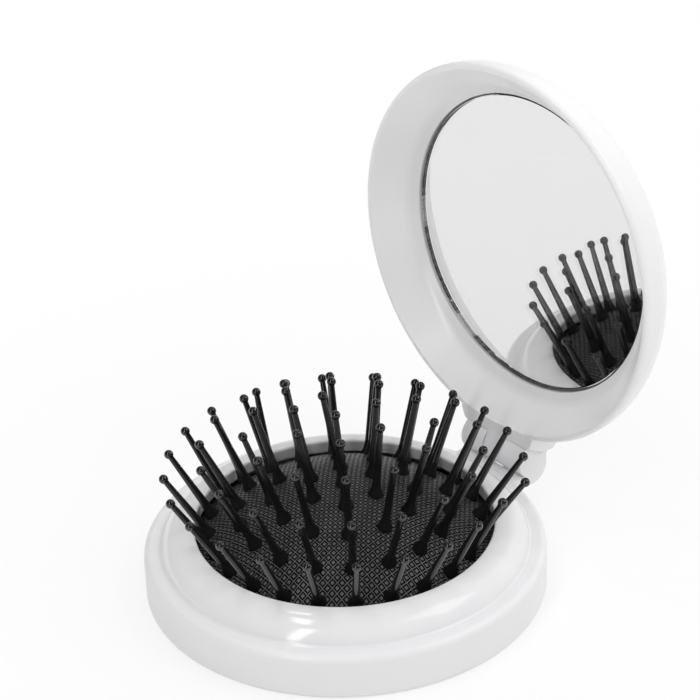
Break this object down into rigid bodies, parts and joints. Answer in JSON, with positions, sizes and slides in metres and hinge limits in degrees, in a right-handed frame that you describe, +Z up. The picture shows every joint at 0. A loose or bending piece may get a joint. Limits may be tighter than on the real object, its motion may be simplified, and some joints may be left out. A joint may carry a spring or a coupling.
{
  "type": "pocket mirror comb",
  "caption": "Round folding compact with a mirror in its hinged lid and a pop-up pin brush on a domed rubber cushion in its base.",
  "frame": {"origin": "centre of the open compact's outline on the plane that the base stands on", "axes": "+Z up along the base's axis, +Y towards the hinge, +X along the hinge axis"},
  "size_m": [0.065, 0.0786, 0.0781],
  "materials": {
    "white_plastic": "polished moulded white plastic",
    "black_rubber": "matte, with a fine moulded tile relief",
    "black_plastic": "smooth, slightly glossy nylon",
    "mirror_glass": "polished, silvered behind",
    "tape_foam": "matte foam adhesive",
    "steel": "plain drawn wire"
  },
  "bodies": {
    "base": {"base_shell": "white_plastic", "cushion_collar": "white_plastic", "cushion_pad": "black_rubber", "hinge_pin": "steel"},
    "lid": {"lid_shell": "white_plastic", "mirror_glass": "mirror_glass", "mirror_tape": "tape_foam"},
    "center_pin": {"pin_center": "black_plastic"},
    "inner_pins": {"pins_ring_1_01": "black_plastic", "pins_ring_1_02": "black_plastic", "pins_ring_1_03": "black_plastic"},
    "pins_2_01": {"pins_ring_2_01": "black_plastic"},
    "pins_2_02": {"pins_ring_2_02": "black_plastic"},
    "pins_2_03": {"pins_ring_2_03": "black_plastic"},
    "pins_2_04": {"pins_ring_2_04": "black_plastic"},
    "pins_2_05": {"pins_ring_2_05": "black_plastic"},
    "pins_2_06": {"pins_ring_2_06": "black_plastic"},
    "pins_3_01": {"pins_ring_3_01": "black_plastic"},
    "pins_3_02": {"pins_ring_3_02": "black_plastic"},
    "pins_3_03": {"pins_ring_3_03": "black_plastic"},
    "pins_3_04": {"pins_ring_3_04": "black_plastic"},
    "pins_3_05": {"pins_ring_3_05": "black_plastic"},
    "pins_3_06": {"pins_ring_3_06": "black_plastic"},
    "pins_3_07": {"pins_ring_3_07": "black_plastic"},
    "pins_3_08": {"pins_ring_3_08": "black_plastic"},
    "pins_3_09": {"pins_ring_3_09": "black_plastic"},
    "pins_4_01": {"pins_ring_4_01": "black_plastic"},
    "pins_4_02": {"pins_ring_4_02": "black_plastic"},
    "pins_4_03": {"pins_ring_4_03": "black_plastic"},
    "pins_4_04": {"pins_ring_4_04": "black_plastic"},
    "pins_4_05": {"pins_ring_4_05": "black_plastic"},
    "pins_4_06": {"pins_ring_4_06": "black_plastic"},
    "pins_4_07": {"pins_ring_4_07": "black_plastic"},
    "pins_4_08": {"pins_ring_4_08": "black_plastic"},
    "pins_4_09": {"pins_ring_4_09": "black_plastic"},
    "pins_4_10": {"pins_ring_4_10": "black_plastic"},
    "pins_4_11": {"pins_ring_4_11": "black_plastic"},
    "pins_4_12": {"pins_ring_4_12": "black_plastic"}
  },
  "joints": [
    {"name": "lid_hinge", "type": "hinge", "parent": "base", "child": "lid", "pos_m": [0, 0.02919, 0.0098], "axis": [1, 0, 0], "range_deg": [0, 91.5]},
    {"name": "inner_pins_slide", "type": "slide", "parent": "base", "child": "inner_pins", "axis": [0, 0, -1], "range_m": [0, 0.01666], "deforming": ["cushion_pad"]},
    {"name": "center_pin_slide", "type": "slide", "parent": "base", "child": "center_pin", "axis": [0, 0, -1], "range_m": [0, 0.0172]},
    {"name": "pins_2_01_swing", "type": "hinge", "parent": "base", "child": "pins_2_01", "pos_m": [0.05893, -0.03098, 0.00863], "axis": [-0.3795, -0.9252, 0], "range_deg": [0, 16.26]},
    {"name": "pins_2_02_swing", "type": "hinge", "parent": "base", "child": "pins_2_02", "pos_m": [0.0504, 0.03214, 0.00863], "axis": [0.6115, -0.7912, 0], "range_deg": [0, 16.26]},
    {"name": "pins_2_03_swing", "type": "hinge", "parent": "base", "child": "pins_2_03", "pos_m": [-0.00853, 0.05631, 0.00863], "axis": [0.991, 0.134, 0], "range_deg": [0, 16.26]},
    {"name": "pins_2_04_swing", "type": "hinge", "parent": "base", "child": "pins_2_04", "pos_m": [-0.05893, 0.01736, 0.00863], "axis": [0.3795, 0.9252, 0], "range_deg": [0, 16.26]},
    {"name": "pins_2_05_swing", "type": "hinge", "parent": "base", "child": "pins_2_05", "pos_m": [-0.0504, -0.04576, 0.00863], "axis": [-0.6115, 0.7912, 0], "range_deg": [0, 16.26]},
    {"name": "pins_2_06_swing", "type": "hinge", "parent": "base", "child": "pins_2_06", "pos_m": [0.00853, -0.06993, 0.00863], "axis": [-0.991, -0.134, 0], "range_deg": [0, 16.26]},
    {"name": "pins_3_01_swing", "type": "hinge", "parent": "base", "child": "pins_3_01", "pos_m": [0.03914, -0.02701, 0.00734], "axis": [-0.4586, -0.8886, 0], "range_deg": [0, 25.66]},
    {"name": "pins_3_02_swing", "type": "hinge", "parent": "base", "child": "pins_3_02", "pos_m": [0.04296, 0.00287, 0.00734], "axis": [0.2198, -0.9755, 0], "range_deg": [0, 25.66]},
    {"name": "pins_3_03_swing", "type": "hinge", "parent": "base", "child": "pins_3_03", "pos_m": [0.02669, 0.02822, 0.00734], "axis": [0.7955, -0.606, 0], "range_deg": [0, 25.66]},
    {"name": "pins_3_04_swing", "type": "hinge", "parent": "base", "child": "pins_3_04", "pos_m": [-0.00207, 0.03718, 0.00734], "axis": [0.9989, 0.0471, 0], "range_deg": [0, 25.66]},
    {"name": "pins_3_05_swing", "type": "hinge", "parent": "base", "child": "pins_3_05", "pos_m": [-0.02987, 0.02556, 0.00734], "axis": [0.7349, 0.6782, 0], "range_deg": [0, 25.66]},
    {"name": "pins_3_06_swing", "type": "hinge", "parent": "base", "child": "pins_3_06", "pos_m": [-0.04368, -0.00121, 0.00734], "axis": [0.1271, 0.9919, 0], "range_deg": [0, 25.66]},
    {"name": "pins_3_07_swing", "type": "hinge", "parent": "base", "child": "pins_3_07", "pos_m": [-0.03706, -0.0306, 0.00734], "axis": [-0.5402, 0.8415, 0], "range_deg": [0, 25.66]},
    {"name": "pins_3_08_swing", "type": "hinge", "parent": "base", "child": "pins_3_08", "pos_m": [-0.0131, -0.04886, 0.00734], "axis": [-0.9548, 0.2974, 0], "range_deg": [0, 25.66]},
    {"name": "pins_3_09_swing", "type": "hinge", "parent": "base", "child": "pins_3_09", "pos_m": [0.017, -0.04744, 0.00734], "axis": [-0.9225, -0.3859, 0], "range_deg": [0, 25.66]},
    {"name": "pins_4_01_swing", "type": "hinge", "parent": "base", "child": "pins_4_01", "pos_m": [0.03351, -0.026, 0.00581], "axis": [-0.497, -0.8678, 0], "range_deg": [0, 30.78]},
    {"name": "pins_4_02_swing", "type": "hinge", "parent": "base", "child": "pins_4_02", "pos_m": [0.03861, -0.00668, 0.00581], "axis": [0.0035, -1, 0], "range_deg": [0, 30.78]},
    {"name": "pins_4_03_swing", "type": "hinge", "parent": "base", "child": "pins_4_03", "pos_m": [0.03337, 0.01261, 0.00581], "axis": [0.503, -0.8643, 0], "range_deg": [0, 30.78]},
    {"name": "pins_4_04_swing", "type": "hinge", "parent": "base", "child": "pins_4_04", "pos_m": [0.01919, 0.0267, 0.00581], "axis": [0.8678, -0.497, 0], "range_deg": [0, 30.78]},
    {"name": "pins_4_05_swing", "type": "hinge", "parent": "base", "child": "pins_4_05", "pos_m": [-0.00013, 0.0318, 0.00581], "axis": [1, 0.0035, 0], "range_deg": [0, 30.78]},
    {"name": "pins_4_06_swing", "type": "hinge", "parent": "base", "child": "pins_4_06", "pos_m": [-0.01942, 0.02656, 0.00581], "axis": [0.8643, 0.503, 0], "range_deg": [0, 30.78]},
    {"name": "pins_4_07_swing", "type": "hinge", "parent": "base", "child": "pins_4_07", "pos_m": [-0.03351, 0.01238, 0.00581], "axis": [0.497, 0.8678, 0], "range_deg": [0, 30.78]},
    {"name": "pins_4_08_swing", "type": "hinge", "parent": "base", "child": "pins_4_08", "pos_m": [-0.03861, -0.00695, 0.00581], "axis": [-0.0035, 1, 0], "range_deg": [0, 30.78]},
    {"name": "pins_4_09_swing", "type": "hinge", "parent": "base", "child": "pins_4_09", "pos_m": [-0.03337, -0.02623, 0.00581], "axis": [-0.503, 0.8643, 0], "range_deg": [0, 30.78]},
    {"name": "pins_4_10_swing", "type": "hinge", "parent": "base", "child": "pins_4_10", "pos_m": [-0.01919, -0.04032, 0.00581], "axis": [-0.8678, 0.497, 0], "range_deg": [0, 30.78]},
    {"name": "pins_4_11_swing", "type": "hinge", "parent": "base", "child": "pins_4_11", "pos_m": [0.00013, -0.04542, 0.00581], "axis": [-1, -0.0035, 0], "range_deg": [0, 30.78]},
    {"name": "pins_4_12_swing", "type": "hinge", "parent": "base", "child": "pins_4_12", "pos_m": [0.01942, -0.04018, 0.00581], "axis": [-0.8643, -0.503, 0], "range_deg": [0, 30.78]}
  ],
  "couplings": [
    {"joint": "inner_pins_slide", "follows": "lid_hinge", "m_per_rad": 0.010434},
    {"joint": "center_pin_slide", "follows": "lid_hinge", "m_per_rad": 0.01077},
    {"joint": "pins_2_01_swing", "follows": "lid_hinge", "ratio": 0.17769},
    {"joint": "pins_2_02_swing", "follows": "lid_hinge", "ratio": 0.17769},
    {"joint": "pins_2_03_swing", "follows": "lid_hinge", "ratio": 0.17769},
    {"joint": "pins_2_04_swing", "follows": "lid_hinge", "ratio": 0.17769},
    {"joint": "pins_2_05_swing", "follows": "lid_hinge", "ratio": 0.17769},
    {"joint": "pins_2_06_swing", "follows": "lid_hinge", "ratio": 0.17769},
    {"joint": "pins_3_01_swing", "follows": "lid_hinge", "ratio": 0.28039},
    {"joint": "pins_3_02_swing", "follows": "lid_hinge", "ratio": 0.28039},
    {"joint": "pins_3_03_swing", "follows": "lid_hinge", "ratio": 0.28039},
    {"joint": "pins_3_04_swing", "follows": "lid_hinge", "ratio": 0.28039},
    {"joint": "pins_3_05_swing", "follows": "lid_hinge", "ratio": 0.28039},
    {"joint": "pins_3_06_swing", "follows": "lid_hinge", "ratio": 0.28039},
    {"joint": "pins_3_07_swing", "follows": "lid_hinge", "ratio": 0.28039},
    {"joint": "pins_3_08_swing", "follows": "lid_hinge", "ratio": 0.28039},
    {"joint": "pins_3_09_swing", "follows": "lid_hinge", "ratio": 0.28039},
    {"joint": "pins_4_01_swing", "follows": "lid_hinge", "ratio": 0.33643},
    {"joint": "pins_4_02_swing", "follows": "lid_hinge", "ratio": 0.33643},
    {"joint": "pins_4_03_swing", "follows": "lid_hinge", "ratio": 0.33643},
    {"joint": "pins_4_04_swing", "follows": "lid_hinge", "ratio": 0.33643},
    {"joint": "pins_4_05_swing", "follows": "lid_hinge", "ratio": 0.33643},
    {"joint": "pins_4_06_swing", "follows": "lid_hinge", "ratio": 0.33643},
    {"joint": "pins_4_07_swing", "follows": "lid_hinge", "ratio": 0.33643},
    {"joint": "pins_4_08_swing", "follows": "lid_hinge", "ratio": 0.33643},
    {"joint": "pins_4_09_swing", "follows": "lid_hinge", "ratio": 0.33643},
    {"joint": "pins_4_10_swing", "follows": "lid_hinge", "ratio": 0.33643},
    {"joint": "pins_4_11_swing", "follows": "lid_hinge", "ratio": 0.33643},
    {"joint": "pins_4_12_swing", "follows": "lid_hinge", "ratio": 0.33643}
  ]
}
